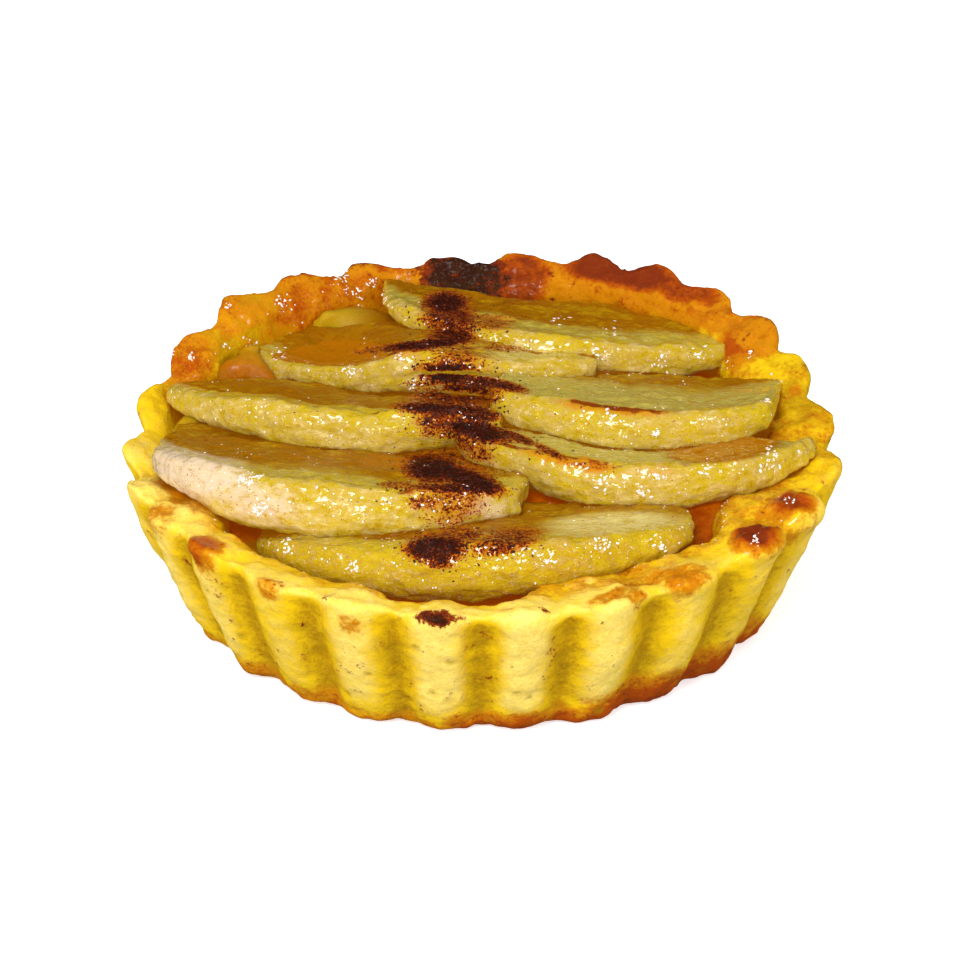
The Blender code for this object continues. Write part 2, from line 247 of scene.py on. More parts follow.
# Here the ridge of a slice has worn down, and the strength is a depth
WORN_RIDGES = ((-21.0, 31.2, 10.0, 2.4, 4.0, 2.3), (-4.0, 26.6, 9.0, 1.3, 0.0, 0.8))
CINNAMON_PLACES = (
    (-5.0, 37.7, 3.8, 2.0, 0.0, 1.2), (-4.3, 35.4, 4.8, 2.8, 0.0, 0.86),
    (1.4, 35.0, 4.5, 1.6, 0.0, 0.48), (-7.9, 31.8, 8.6, 0.8, 6.0, 1.25),
    (-4.3, 33.1, 3.8, 1.1, 0.0, 1.1), (-15.1, 31.0, 4.0, 0.7, 8.0, 0.8),
    (2.9, 31.3, 4.0, 0.7, -4.0, 0.5), (-4.6, 27.7, 5.0, 1.8, -3.0, 1.35),
    (2.2, 26.1, 5.2, 0.9, -12.0, 1.05), (-3.6, 24.9, 7.6, 3.0, 0.0, 0.9),
    (-5.8, 22.5, 7.4, 1.0, -3.0, 1.3), (-0.7, 21.9, 4.2, 1.3, -10.0, 1.1),
    (-4.3, 20.9, 6.0, 2.2, 0.0, 0.8), (-0.3, 19.3, 5.4, 1.6, -14.0, 1.35),
    (5.0, 18.5, 3.9, 0.8, -20.0, 0.95), (10.1, 16.3, 3.6, 0.7, -27.0, 0.8),
    (15.8, 14.4, 4.5, 0.6, -8.0, 0.5), (-3.6, 18.0, 4.8, 2.0, 0.0, 0.72),
    (-6.9, 14.0, 5.0, 2.4, -5.0, 1.35), (-1.4, 12.3, 5.8, 1.7, -20.0, 1.35),
    (-3.6, 11.1, 8.2, 0.8, -2.0, 1.05), (-12.0, 11.6, 3.2, 0.7, 0.0, 0.6),
    (-7.2, 9.1, 4.6, 1.5, 0.0, 0.5), (-6.5, 2.5, 5.0, 2.3, 0.0, 1.35), (-5.8, 0.3, 2.6, 0.9, 0.0, 0.8),
    (3.6, 3.4, 6.2, 2.1, 12.0, 0.74), (-2.9, 4.4, 4.2, 1.3, 0.0, 0.7), (-5.8, -7.4, 3.4, 0.9, 0.0, 0.5),
    (7.8, -5.6, 1.0, 0.6, 0.0, 0.4), (45.9, 30.8, 0.6, 0.6, 0.0, 0.4), (49.0, 28.1, 0.6, 0.6, 0.0, 0.4),
    (-3.6, 29.7, 4.4, 1.5, 0.0, 0.6), (-1.5, 16.2, 4.2, 1.6, -10.0, 0.6),
)
CINNAMON_STREAK = (-3.6, 19.5, 7.0, 20.5, 0.0, 0.52)
ALL_CINNAMON = CINNAMON_PLACES + (CINNAMON_STREAK,)
# How much less often a grain falls on the streak than on the bands
STREAK_WEIGHT = 0.2
CINNAMON_SEED = 3
GLINT_SEED = 8
TRIES_PER_GRAIN = 200
# The white beads of painted glint fall inside this radius, and beyond the next one only where the rim
# is glazed
GLINTS_WITHIN = 47.5
GLINTS_ON_RIM = 43.0
GLINTS_ABOVE = 16.0
ABOVE_ALL = 60.0
# Painted highlights, as clusters of white beads, in the same plane: across, up, spread, how many
STREAKS = (
    (-18.7, 27.8, 1.0, 8), (-11.5, 30.0, 0.8, 5), (-9.3, 25.9, 0.8, 4), (-28.8, 30.1, 1.2, 6),
    (-33.0, 32.1, 0.8, 4), (-43.9, 24.9, 0.8, 5), (17.3, 30.3, 1.4, 8), (25.9, 29.2, 1.4, 8),
    (31.6, 30.3, 1.2, 7), (11.5, 35.3, 1.2, 6), (18.7, 33.9, 1.2, 7), (18.7, 22.0, 0.8, 4),
    (25.2, 18.9, 0.6, 7), (41.0, 23.8, 0.7, 4), (41.7, 16.0, 1.3, 12), (41.4, 14.0, 1.3, 9),
    (32.4, 13.7, 0.9, 6), (46.0, 16.3, 0.6, 4), (-33.6, 12.6, 1.5, 16), (-31.8, 8.4, 1.3, 15),
    (-13.7, 9.4, 1.0, 5), (-28.0, 2.9, 1.4, 8), (-18.7, 0.1, 1.0, 6), (17.3, 2.9, 1.5, 9),
    (25.9, 2.9, 1.2, 7), (10.1, 0.8, 1.2, 6), (23.0, 10.8, 1.2, 6), (17.3, 12.3, 1.5, 8),
    (25.2, 12.6, 1.0, 6), (-28.5, 37.7, 1.0, 10), (-20.1, 41.3, 1.0, 8), (-17.5, 39.2, 0.9, 6),
    (-15.5, 40.6, 0.8, 5), (-13.7, 38.2, 0.7, 4), (-44.3, 30.7, 0.6, 4), (-41.4, 30.0, 0.6, 6),
    (-36.7, 31.7, 0.6, 4), (-36.2, 37.4, 0.6, 4), (38.8, 30.3, 0.8, 5), (39.5, 3.7, 0.9, 7),
    (44.6, 9.4, 0.8, 6),
)

WARM_SHINE = (1.0, 0.75, 0.3, 1.0)
WHITE = (1.0, 1.0, 1.0, 1.0)
BLACK = (0.0, 0.0, 0.0, 1.0)
# Lights: name, place, size, power in watts, whether glossy surfaces show them
LIGHTS = (
    ("key", (-0.10, -0.38, 0.46), 0.16, 2.0, True),
    ("soft_left", (-0.50, -0.46, 0.17), 0.30, 2.5, False),
    ("soft_right", (0.58, -0.36, 0.17), 0.30, 2.2, False),
    ("soft_back", (-0.07, 0.28, 0.52), 0.12, 0.45, False),
    ("small_right", (0.22, -0.14, 0.56), 0.05, 0.3, True),
    ("small_front", (-0.07, -0.56, 0.26), 0.05, 0.2, True),
)
CAMERA_DISTANCE = 0.5
CAMERA_ELEVATION = math.radians(32.26)
CAMERA_SENSOR = 36.0
CAMERA_LENS = 130.4
CAMERA_SHIFT = (-0.0004, 0.089)
TO_VIEWER = Vector((0.0, -math.cos(CAMERA_ELEVATION), math.sin(CAMERA_ELEVATION)))
VIEW_UP = Vector((0.0, math.sin(CAMERA_ELEVATION), math.cos(CAMERA_ELEVATION)))


def ramp(value, low, high):
    """0 below low, 1 above high, and smooth between."""
    share = min(max((value - low) / (high - low), 0.0), 1.0)
    return share * share * (3 - 2 * share)


def lumps(place, size, shift=0.0):
    """Smooth noise from about -1 to 1, with lumps of about this size."""
    return noise.noise(place / size + Vector((shift, -shift, 2 * shift)))


def nearness(angle, direction, spread):
    """1 in a direction, given in degrees, and falling to 0 either side of it."""
    away = (angle - direction + 180) % 360 - 180
    return math.exp(-((away / spread) ** 2))


def direction_of(place):
    return math.degrees(math.atan2(place.y, place.x))


def strongest(angle, places):
    return max(strength * nearness(angle, direction, spread) for direction, spread, strength in places)


def outwardness(place, normal):
    """How squarely a surface faces away from the tart's axis: 1 straight out, -1 straight in."""
    return (normal.x * place.x + normal.y * place.y) / max(math.hypot(place.x, place.y), 1.0)


def rim_patch(place, patches):
    """How strongly the strongest of some patches on the rim covers a place."""
    angle = direction_of(place)
    radius = math.hypot(place.x, place.y)
    most = 0.0
    for (direction, middle, height), (along, across, tall), strength in patches:
        away = (angle - direction + 180) % 360 - 180
        arc = math.radians(away) * middle / along
        if abs(arc) > 1.6:
            continue
        reach = math.hypot(arc, (radius - middle) / across, (place.z - height) / tall)
        most = max(most, strength * (1 - ramp(reach, 0.45, 1.35)))
    return most


def ground_patch(place, patch):
    """How strongly a patch, an ellipse seen from above, covers a place."""
    x, y, along, across, turn, strength = patch
    turn = math.radians(turn)
    dx = place.x - x
    dy = place.y - y
    reach = math.hypot(
        (dx * math.cos(turn) + dy * math.sin(turn)) / along,
        (dy * math.cos(turn) - dx * math.sin(turn)) / across,
    )
    return strength * (1 - ramp(reach, 0.35, 1.3))


def strongest_patch(place, patches):
    return max(ground_patch(place, patch) for patch in patches)


def seen_at(place):
    """Where the viewer sees a place in the plane across the tart's middle that faces them."""
    nearer = 1 - place.dot(TO_VIEWER) * MM / CAMERA_DISTANCE
    return Vector((place.x / nearer, place.dot(VIEW_UP) / nearer, 0.0))


def seen_patch(place, patches):
    """How strongly the strongest of some patches, as the viewer sees them, covers a place."""
    return strongest_patch(seen_at(place), patches)


def flute_phase(angle):
    """Counts flutes round the crust from the groove at the front. The angle is in degrees."""
    direction, spread, shift = FLUTE_DRIFT
    steady = math.radians(angle - shift * nearness(angle, direction, spread))
    return (steady - GROOVE_AT) / FULL_TURN * FLUTES % FLUTES


def groove_share(angle):
    """1 in the groove between two flutes and 0 on a flute."""
    return abs(flute_phase(angle) % 1.0 - 0.5) * 2


def rim_top(angle):
    swells = (rise * nearness(angle, direction, spread) for direction, spread, rise in RIM_SWELLS)
    return RIM_HEIGHT + sum(swells)


def object_from(bm, name):
    """Makes an object of a bmesh, and frees it."""
    mesh = bpy.data.meshes.new(name)
    bm.to_mesh(mesh)
    bm.free()
    obj = bpy.data.objects.new(name, mesh)
    bpy.context.scene.collection.objects.link(obj)
    return obj


@contextlib.contextmanager
def open_mesh(obj):
    """Opens an object's mesh for bmesh operators, and writes it back."""
    bm = bmesh.new()
    bm.from_mesh(obj.data)
    yield bm
    bm.to_mesh(obj.data)
    bm.free()


def copy_of(node, name):
    """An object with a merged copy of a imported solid's mesh."""
    bm = bmesh.new()
    bm.from_mesh(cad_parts[node].data)
    bmesh.ops.remove_doubles(bm, verts=bm.verts, dist=WELD)
    bmesh.ops.recalc_face_normals(bm, faces=bm.faces)
    return object_from(bm, name)


def settle(obj):
    """Applies the modifiers of an object to its mesh."""
    graph = bpy.context.evaluated_depsgraph_get()
    mesh = bpy.data.meshes.new_from_object(obj.evaluated_get(graph))
    loose = obj.data
    obj.modifiers.clear()
    obj.data = mesh
    bpy.data.meshes.remove(loose)


def rounded_copy(node, name):
    """A copy of a solid, with its triangles joined into quads and subdivided."""
    obj = copy_of(node, name)
    with open_mesh(obj) as bm:
        bmesh.ops.join_triangles(
            bm, faces=bm.faces, angle_face_threshold=math.pi, angle_shape_threshold=math.pi
        )
    smooth = obj.modifiers.new("smooth", "SUBSURF")
    smooth.levels = 2
    smooth.render_levels = 2
    settle(obj)
    return obj


def even_out(obj, chosen, times):
    """Smooths the vertices that chosen(place, normal) picks."""
    with open_mesh(obj) as bm:
        verts = [vert for vert in bm.verts if chosen(vert.co / MM, vert.normal)]
        for _ in range(times):
            bmesh.ops.smooth_vert(
                bm, verts=verts, factor=0.5, use_axis_x=True, use_axis_y=True, use_axis_z=True
            )


def push(obj, move):
    """Moves each vertex along its normal by move(place, normal)."""
    moved = []
    for vert in obj.data.vertices:
        place = vert.co / MM
        moved.extend((place + vert.normal * move(place, vert.normal)) * MM)
    obj.data.vertices.foreach_set("co", moved)
    obj.data.update()


def paint(obj, **shares):
    """Stores each share(place, normal) on every vertex, for the materials to read."""
    for name, share in shares.items():
        layer = obj.data.attributes.new(name, "FLOAT", "POINT")
        values = [share(vert.co / MM, vert.normal) for vert in obj.data.vertices]
        layer.data.foreach_set("value", values)


def finish_piece(obj, look, node=None):
    """Gives a piece its material and its place in the frame."""
    obj.data.materials.clear()
    obj.data.materials.append(look)
    obj.data.shade_smooth()
    if node:
        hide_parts(node)
    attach(obj, BODY)


def solids_tree(leave_out=()):
    """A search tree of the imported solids, for rays."""
    bm = bmesh.new()
    for name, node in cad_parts.items():
        if name not in leave_out:
            bm.from_mesh(node.data)
    tree = BVHTree.FromBMesh(bm)
    bm.free()
    return tree


def room_ahead(tree, place, way, reach):
    """Distance from a place to the next solid this way, or None."""
    distance = tree.ray_cast(place * MM, way, reach * MM)[3]
    return None if distance is None else distance / MM


class Shelter:
    """Says how far a place on the tart is shut in by what stands round it."""

    WAYS = 7
    TILT = math.radians(38)
    REACH = 16.0
    START = 0.7

    def __init__(self):
        self.tree = solids_tree()
        self.ways = [Vector((0.0, 0.0, 1.0))]
        for way in range(self.WAYS):
            turn = FULL_TURN * way / self.WAYS
            level = math.sin(self.TILT)
            self.ways.append(
                Vector((math.cos(turn) * level, math.sin(turn) * level, math.cos(self.TILT)))
            )

    def share(self, place, normal):
        start = (place + normal * self.START) * MM
        shut = 0
        for way in self.ways:
            if self.tree.ray_cast(start, way, self.REACH * MM)[0] is not None:
                shut += 1
        return shut / len(self.ways)


class Value:
    """A socket of a material, so that a mask can be written as a sum."""

    def __init__(self, look, socket):
        self.look = look
        self.socket = socket

    def __add__(self, other):
        return self.look.maths("ADD", self, other)

    __radd__ = __add__

    def __sub__(self, other):
        return self.look.maths("SUBTRACT", self, other)

    def __rsub__(self, other):
        return self.look.maths("SUBTRACT", other, self)

    def __mul__(self, other):
        return self.look.maths("MULTIPLY", self, other)

    __rmul__ = __mul__


class Look:
    """A material that is built from nodes."""

    def __init__(self, name):
        self.material = bpy.data.materials.new(name)
        self.material.use_nodes = True
        self.tree = self.material.node_tree
        self.tree.nodes.clear()
        self.coordinates = self.node("ShaderNodeTexCoord", output="Object")

    def node(self, kind, settings=(), values=(), output=0):
        """Adds a node, gives it its settings, then its values or links, and returns an output."""
        made = self.tree.nodes.new(kind)
        for name, setting in dict(settings).items():
            setattr(made, name, setting)
        for socket, value in dict(values).items():
            if isinstance(value, Value):
                self.tree.links.new(value.socket, made.inputs[socket])
            else:
                made.inputs[socket].default_value = value
        return None if output is None else Value(self, made.outputs[output])

    def maths(self, operation, first, second):
        return self.node("ShaderNodeMath", {"operation": operation}, {0: first, 1: second})

    def most(self, first, second):
        return self.maths("MAXIMUM", first, second)

    def painted(self, name):
        return self.node("ShaderNodeAttribute", {"attribute_name": name}, output="Fac")

    def step(self, value, low, high):
        """0 where the value is below low, 1 above high, and smooth between."""
        return self.node(
            "ShaderNodeMapRange", {"interpolation_type": "SMOOTHSTEP"},
            {"Value": value, "From Min": low, "From Max": high},
        )

    def mix(self, mask, under, over):
        """One colour over another where the mask is 1."""
        return self.node("ShaderNodeMix", {"data_type": "RGBA"}, {0: mask, 6: under, 7: over}, 2)

    def layered(self, colour, *layers):
        """Lays colours over a first one, each where its mask is 1."""
        for mask, over in layers:
            colour = self.mix(mask, colour, over if isinstance(over, Value) else tint(over))
        return colour

    def spread(self, size, stretch, shift):
        scale = [1 / (size * MM * part) for part in stretch]
        values = {"Vector": self.coordinates, "Scale": scale, "Location": (shift, shift, shift)}
        return self.node("ShaderNodeMapping", {}, values)

    def grain(self, size, detail=3.0, rough=0.55, stretch=(1.0, 1.0, 1.0), shift=0.0):
        """Noise with grains of about this size."""
        place = self.spread(size, stretch, shift)
        values = {"Vector": place, "Scale": 1.0, "Detail": detail, "Roughness": rough}
        return self.node("ShaderNodeTexNoise", {}, values)

    def cells(self, size, shift):
        """Distance from the middles of cells of about this size."""
        values = {"Vector": self.spread(size, (1.0, 1.0, 1.0), shift), "Scale": 1.0}
        return self.node("ShaderNodeTexVoronoi", {}, values, "Distance")

    def bump(self, height, depth, strength=1.0, under=None):
        values = {"Height": height, "Distance": depth * MM, "Strength": strength}
        if under is not None:
            values["Normal"] = under
        return self.node("ShaderNodeBump", {}, values)

    def surface(self, colour, roughness, normal, **constants):
        values = {"Base Color": colour, "Roughness": roughness, "Normal": normal}
        values.update({name.replace("_", " "): value for name, value in constants.items()})
        shader = self.node("ShaderNodeBsdfPrincipled", {}, values)
        self.node("ShaderNodeOutputMaterial", {}, {"Surface": shader}, None)
        return self.material


def tint(colour):
    return (colour[0], colour[1], colour[2], 1.0)


def painted_glow(look, hollow, glow):
    """Painted glow in the deepest gaps: an emission that stands for light coming through the fruit and
    the syrup.
    """
    return look.mix(look.step(hollow, 0.4, 1.0), BLACK, tint(glow))


def crust_look(crust):
    """Pale yellow pastry with painted light on the flutes and painted shade in its mustard grooves and
    hollows, a painted glow in the deepest gaps, a toasted foot, caramel and one burnt place.
    """
    look = Look("baked_pastry")
    broad = look.grain(6.0, 3.0)
    blotch = look.grain(2.0, 4.0, 0.6, shift=7.0)
    crumb = look.grain(0.55, 5.0, 0.65, shift=3.0)
    valley, pale, toast, caramel, char, pit, glaze, hollow = (
        look.painted(name)
        for name in ("valley", "pale", "toast", "caramel", "char", "pit", "glaze", "hollow")
    )
    uneven = 0.5 * (broad - 0.5) + 0.65 * (blotch - 0.5) + 0.55 * (crumb - 0.5)
    pores = look.step(look.cells(1.3, shift=8.0), 0.3, 0.12) * look.step(blotch, 0.46, 0.6)

    dapple = look.step(crumb + 0.5 * (blotch - 0.5), 0.36, 0.64)
    freckles = look.step(look.cells(1.1, shift=15.0), 0.24, 0.1) * look.step(toast + uneven, 0.35, 0.7)
    ash = look.step(char, 0.6, 0.9) * look.step(crumb, 0.53, 0.64)
    specks = look.step(look.cells(2.4, shift=5.0), 0.12, 0.05) * look.step(blotch, 0.5, 0.62)
    colour = look.layered(
        look.mix(look.step(uneven, -0.1, 0.16), tint(crust.yellow), tint(crust.deep_yellow)),
        # Painted light on the flutes and a painted highlight on the crest
        (look.step(pale - 0.6 * valley + 1.1 * uneven, -0.1, 0.9), crust.pale),
        # Painted shade in the grooves, and olive pastry on the rim
        (look.step(valley + 0.9 * uneven, 0.08, 0.95), crust.groove),
        (0.3 * (1 - dapple), crust.deep_yellow),
        (0.45 * pores, crust.deep_yellow),
        (look.step(toast + 0.9 * uneven, 0.14, 0.5), crust.gold),
        (look.step(toast + 1.5 * uneven, 0.42, 0.85), crust.toast),
        (look.step(toast + 2.0 * uneven, 0.95, 1.6), crust.caramel),
        (0.55 * freckles, crust.caramel),
        # Painted shade: darker syrup colour where the pastry is shut in by what stands round it
        (look.step(hollow + 0.7 * uneven, 0.12, 0.7), crust.syrup_and_shade),
        (look.step(caramel + 1.3 * uneven, 0.12, 0.46), crust.gold),
        (look.step(caramel + 0.9 * uneven, 0.4, 0.75), crust.toast),
        (look.step(caramel + 0.8 * uneven, 0.68, 0.95), crust.caramel),
        (look.step(char + 2.0 * uneven, 0.22, 0.5), crust.caramel),
        (look.step(char + 2.4 * uneven, 0.5, 0.85), crust.char),
        (0.32 * ash, crust.ash),
        (0.75 * pit, crust.pore),
        (0.6 * specks, crust.pore),
    )

    wet = look.most(glaze, 0.5 * look.step(caramel, 0.35, 0.7))
    wet = look.most(wet, 0.6 * look.step(hollow, 0.1, 0.5))
    wet = wet * (1 - look.step(char, 0.1, 0.4))
    roughness = 0.5 + 0.3 * (crumb - 0.5) - 0.2 * wet
    normal = look.bump(blotch, 0.3, 0.6)
    normal = look.bump(crumb, 0.24, 0.7, normal)
    return look.surface(
        colour, roughness, normal, Coat_Weight=0.6 * wet, Coat_Roughness=0.14,
        Subsurface_Weight=0.1, Subsurface_Radius=(1.0, 0.5, 0.1), Subsurface_Scale=0.0012,
        IOR=1.45, Specular_IOR_Level=0.18, Specular_Tint=WARM_SHINE,
        # Painted glow in the deepest gaps
        Emission_Color=painted_glow(look, hollow, crust.glow), Emission_Strength=1.0,
    )


def apple_look(apple):
    """Cooked apple under glaze: fibres, cream and green places, browned ridges, syrup with painted
    shade in the hollows, a painted glow in the deepest gaps, and cinnamon.
    """
    look = Look("glazed_apple")
    broad = look.grain(7.0, 2.0, shift=2.0)
    fibre = look.grain(0.8, 3.0, 0.6, stretch=(3.5, 1.0, 1.0), shift=4.0)
    fleck = look.grain(0.62, 4.0, 0.65, stretch=(1.6, 1.0, 1.0), shift=9.0)
    fine = look.grain(0.3, 3.0, 0.6, shift=1.0)
    mottle = look.grain(1.1, 5.0, 0.7, stretch=(1.9, 1.0, 1.0), shift=11.0)
    pale, cut_face, green, browned, edge, blush, cinnamon, hollow = (
        look.painted(name)
        for name in ("pale", "cut_face", "green", "browned", "edge", "blush", "cinnamon", "hollow")
    )

    uneven = 0.45 * (broad - 0.5) + 0.4 * (fibre - 0.5) + 0.3 * (fleck - 0.5) + 1.1 * (mottle - 0.5)
    mottled = look.step(uneven + 0.5 * (broad - 0.5), -0.02, 0.2)
    cut = look.mix(mottled, tint(apple.cut), tint(apple.cut_light))
    on_peel = 1 - look.step(cut_face, 0.1, 0.6)
    crumbs = look.step(fleck + 0.6 * (fine - 0.5), 0.56, 0.7)
    pores = look.step(mottle + 0.6 * (fine - 0.5), 0.46, 0.3)
    stain = look.step(cinnamon + 0.5 * uneven, 0.12, 0.55)
    stipple = 2.6 * (fine - 0.5) + 1.8 * (fleck - 0.5)
    dust = look.step(cinnamon + stipple, 0.42, 0.6)
    heart = look.step(cinnamon + 1.1 * stipple, 0.72, 1.0)
    colour = look.layered(
        look.mix(look.step(uneven, -0.12, 0.16), tint(apple.flesh), tint(apple.gold)),
        (look.step(pale + 1.3 * uneven, 0.0, 0.85), apple.cream),
        (look.step(blush + 0.9 * uneven, 0.1, 0.8), apple.blush),
        (look.step(green + 0.8 * uneven, 0.2, 0.7), apple.green),
        # Darker upward cut faces: syrup-soaked flesh, and painted shade
        (look.step(cut_face + 0.7 * uneven, 0.1, 0.8), cut),
        # Syrup and painted shade: darker where the apple is shut in, in the pools and at the soaked
        # foot
        (look.step(hollow + 0.5 * uneven, 0.25, 0.8), apple.syrup_and_shade),
        (0.6 * crumbs * on_peel, apple.cream),
        (0.65 * pores * on_peel, apple.cut_light),
        (look.step(browned + 0.9 * uneven, 0.3, 0.8), apple.amber),
        (look.step(edge + 0.9 * uneven, 0.25, 0.65), apple.browned),
        (0.8 * stain, apple.rust),
        (dust, apple.spice),
        (heart, apple.dark_spice),
    )

    roughness = 0.2 + 0.2 * (fine - 0.5) + 0.45 * dust
    dull = look.most(dust, 0.85 * look.step(cut_face, 0.1, 0.6))
    normal = look.bump(fibre, 0.3, 0.5)
    normal = look.bump(fleck, 0.3, 0.9, normal)
    normal = look.bump(fine, 0.05, 0.6, normal)
    return look.surface(
        colour, roughness, normal, Coat_Weight=0.8 * (1 - dull), Coat_Roughness=0.1,
        Subsurface_Weight=0.3, Subsurface_Radius=(1.0, 0.7, 0.15), Subsurface_Scale=0.0015,
        IOR=1.45, Specular_IOR_Level=0.2, Specular_Tint=WARM_SHINE,
        # Painted glow in the deepest gaps
        Emission_Color=painted_glow(look, hollow, apple.glow), Emission_Strength=1.0,
    )


def jam_look(jam):
    """Dark orange jam with a wet skin."""
    look = Look("orange_jam")
    broad = look.grain(5.0, 3.0)
    fine = look.grain(0.9, 3.0, shift=3.0)
    colour = look.mix(look.step(0.6 * broad + 0.4 * fine, 0.4, 0.62), tint(jam.deep), tint(jam.bright))
    thin = look.painted("thin")
    colour = look.mix(thin, colour, tint(jam.thin))
    # Painted glow in the deepest gaps of the jam, weaker where the jam is thin
    deep = look.painted("hollow") * (1 - 0.85 * thin)
    normal = look.bump(broad, 0.8, 0.5)
    normal = look.bump(fine, 0.2, 0.5, normal)
    return look.surface(
        colour, 0.18 + 0.1 * (fine - 0.5) + 0.4 * thin, normal, Specular_IOR_Level=0.3,
        Subsurface_Weight=0.2, Subsurface_Radius=(1.0, 0.35, 0.05), Subsurface_Scale=0.002, IOR=1.45,
        Emission_Color=painted_glow(look, deep, jam.glow), Emission_Strength=1.0,
    )


def grain_look(name, first, second, size, roughness):
    """Two mixed tones for a scattered grain."""
    look = Look(name)
    tone = look.grain(size, 2.0)
    fine = look.grain(size * 0.2, 2.0, shift=4.0)
    colour = look.mix(look.step(tone, 0.42, 0.58), tint(first), tint(second))
    normal = look.bump(fine, 0.05, 0.5)
    return look.surface(colour, roughness + 0.1 * (fine - 0.5), normal, IOR=1.45)


def colour_property(name, description, default):
    return bpy.props.FloatVectorProperty(
        name=name, description=description, subtype="COLOR", size=3, min=0.0, max=1.0, default=default
    )


def length_property(name, description, default):
    return bpy.props.FloatProperty(
        name=name, description=description, unit="LENGTH", min=0.0, precision=6, default=default * MM
    )


def count_property(name, description, default):
    return bpy.props.IntProperty(name=name, description=description, min=1, default=default)


def strength_property(name, description, default):
    return bpy.props.FloatProperty(name=name, description=description, min=0.0, default=default)


class TartCrustSettings(bpy.types.PropertyGroup):
    uneven: length_property("Unevenness", "Height of the broad lumps of the pastry", 0.45)
    crumb: length_property("Crumb", "Height of the small lumps of the pastry", 0.12)
    pit_depth: length_property("Pits", "Depth of the loose pits in the wall", 0.35)
    # Colour of the painted light on the flutes and the painted highlight on the crest
    pale: colour_property("Pale", "Lightest pastry, on the flutes", (0.98, 0.74, 0.17))
    yellow: colour_property("Yellow", "Yellow pastry", (0.88, 0.57, 0.005))
    deep_yellow: colour_property("Deep yellow", "Darker mottling of the pastry", (0.72, 0.44, 0.002))
    # Painted shade in the grooves between the flutes
    groove: colour_property("Groove", "Pastry in the grooves", (0.43, 0.225, 0.001))
    pore: colour_property("Pore", "Pastry in the pits and pores", (0.34, 0.20, 0.003))
    gold: colour_property("Gold", "Lightly toasted pastry", (0.58, 0.215, 0.0012))
    toast: colour_property("Toast", "Toasted pastry", (0.40, 0.064, 0.0006))
    caramel: colour_property("Caramel", "Caramelised pastry", (0.20, 0.024, 0.004))
    # Syrup colour, also painted as shade where the pastry is shut in
    syrup_and_shade: colour_property("Syrup", "Pastry under syrup, inside the rim", (0.46, 0.150, 0.0006))
    # Colour of a painted glow in the deepest gaps
    glow: colour_property("Glow", "Light through the syrup in the deepest gaps", (0.10, 0.034, 0.0002))
    char: colour_property("Char", "Burnt pastry", (0.034, 0.008, 0.004))
    ash: colour_property("Ash", "Grey specks on the burnt pastry", (0.20, 0.16, 0.14))


class TartAppleSettings(bpy.types.PropertyGroup):
    uneven: length_property("Unevenness", "Height of the broad lumps of a slice", 0.75)
    fibre: length_property("Fibres", "Height of the fibres along a slice", 0.18)
    voxel: length_property("Mesh size", "Size of the faces of a slice", 0.3)
    flesh: colour_property("Flesh", "Cooked apple", (0.53, 0.37, 0.010))
    gold: colour_property("Gold", "Darker mottling of the cooked apple", (0.40, 0.225, 0.002))
    cream: colour_property("Cream", "Palest apple", (0.80, 0.65, 0.24))
    blush: colour_property("Blush", "Cream-pink end of the pale slice", (0.70, 0.53, 0.34))
    # Darker amber of the upward cut faces: syrup-soaked flesh, and painted shade
    cut: colour_property("Cut face", "Flat cut face of a slice, under syrup", (0.31, 0.115, 0.0006))
    cut_light: colour_property("Light cut face", "Paler places of a cut face", (0.40, 0.210, 0.002))
    green: colour_property("Green", "Green apple, behind the ridge", (0.46, 0.36, 0.060))
    # Syrup colour, also painted as shade where the apple is shut in
    syrup_and_shade: colour_property("Syrup", "Apple under pooled syrup", (0.27, 0.088, 0.0003))
    # Colour of a painted glow in the deepest gaps
    glow: colour_property("Glow", "Light through the apple in the deepest gaps", (0.13, 0.046, 0.0003))
    amber: colour_property("Amber", "Lightly browned apple", (0.54, 0.20, 0.003))
    browned: colour_property("Browned", "Browned ridge of a slice", (0.26, 0.050, 0.003))
    rust: colour_property("Rust", "Apple stained by the cinnamon", (0.44, 0.13, 0.002))
    spice: colour_property("Cinnamon", "Cinnamon dust", (0.23, 0.026, 0.002))
    dark_spice: colour_property("Dark cinnamon", "Thick cinnamon", (0.034, 0.004, 0.002))


class TartJamSettings(bpy.types.PropertyGroup):
    deep: colour_property("Deep", "Deep jam", (0.33, 0.050, 0.0006))
    bright: colour_property("Bright", "Bright jam", (0.46, 0.100, 0.0008))
    thin: colour_property("Thin", "Thin golden jam at the edge", (0.42, 0.25, 0.0005))
    # Colour of a painted glow in the deepest gaps
    glow: colour_property("Glow", "Light through the jam in the deepest gaps", (0.12, 0.022, 0.0002))
    uneven: length_property("Unevenness", "Height of the lumps in the jam", 0.2)


class TartToppingSettings(bpy.types.PropertyGroup):
    grains: count_property("Grains", "Number of cinnamon grains", 2200)
    grain_size: length_property("Grain size", "Radius of the largest grain", 0.2)
    # The glaze beads are white beads that paint glints and highlights
    glints: count_property("Glints", "Number of glaze beads", 900)
    glint_size: length_property("Glint size", "Radius of the largest bead", 0.2)
    spice: colour_property("Cinnamon", "Cinnamon grains", (0.085, 0.016, 0.008))
    dark_spice: colour_property("Dark cinnamon", "Darkest grains", (0.020, 0.005, 0.005))
    bead: colour_property("Bead", "Glaze beads", (1.0, 0.93, 0.86))
    rosy_bead: colour_property("Rosy bead", "Some glaze beads", (1.0, 0.80, 0.70))


class TartStageSettings(bpy.types.PropertyGroup):
    floor: colour_property("Floor", "Floor", (0.93, 0.93, 0.93))
    sky: strength_property("Sky", "Strength of the white light all round", 0.5)
    glow: strength_property("Glow", "How much the floor lights itself", 0.55)
    lamps: strength_property("Lamps", "Strength of the studio lamps", 1.0)


